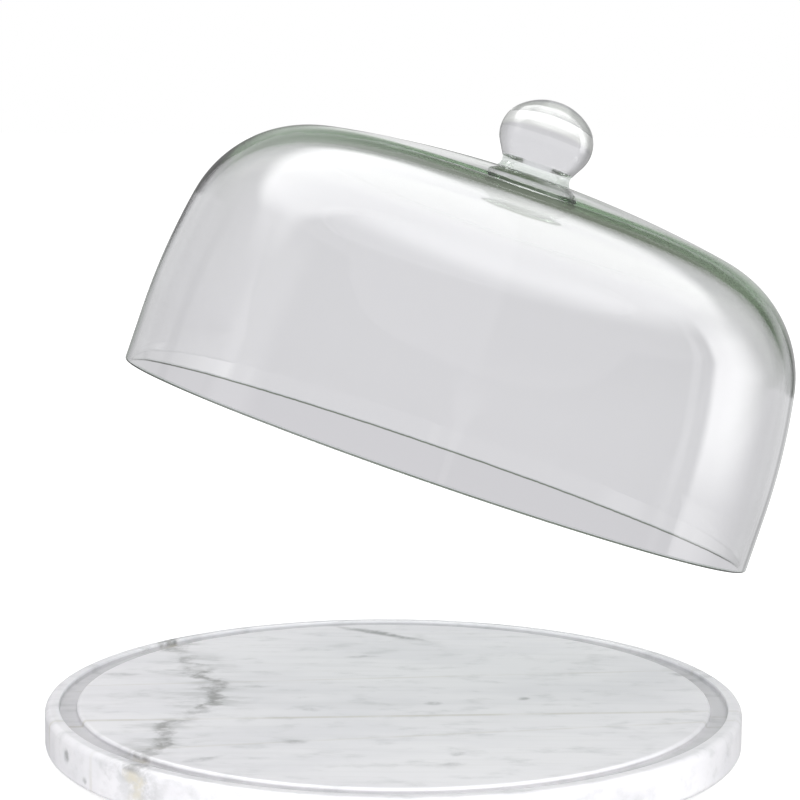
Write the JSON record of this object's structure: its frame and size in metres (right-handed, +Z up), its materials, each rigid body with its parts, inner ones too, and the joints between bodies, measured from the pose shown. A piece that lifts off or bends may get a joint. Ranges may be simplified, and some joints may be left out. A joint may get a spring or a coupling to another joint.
{
  "type": "cake stand with dome",
  "caption": "Round marble cake board with a ring groove near its edge, and a clear glass dome with a ball knob that swings up and tips off the board and lowers into the groove.",
  "frame": {"origin": "on the table, under the centre of the round board, level with the undersides of the feet", "axes": "+Z up; seen from the front (looking along +Y) the dome is lifted towards -X and hangs low towards +X, about a level line beside the board's right side"},
  "size_m": [0.3252, 0.3048, 0.2817],
  "materials": {
    "white_marble": "honed to a soft sheen, grey veined",
    "clear_silicone": "translucent soft",
    "clear_glass": "clear, fire polished, faint green edge"
  },
  "bodies": {
    "board": {"marble_board": "white_marble", "bumper_feet": "clear_silicone"},
    "dome": {"glass_dome": "clear_glass", "glass_knob": "clear_glass"}
  },
  "joints": [
    {"name": "dome_lift", "type": "hinge", "parent": "board", "child": "dome", "pos_m": [0.30475, 0.09085, 0.0181], "axis": [-0.2857, 0.9583, 0], "range_deg": [-19.4, 20.6]}
  ]
}
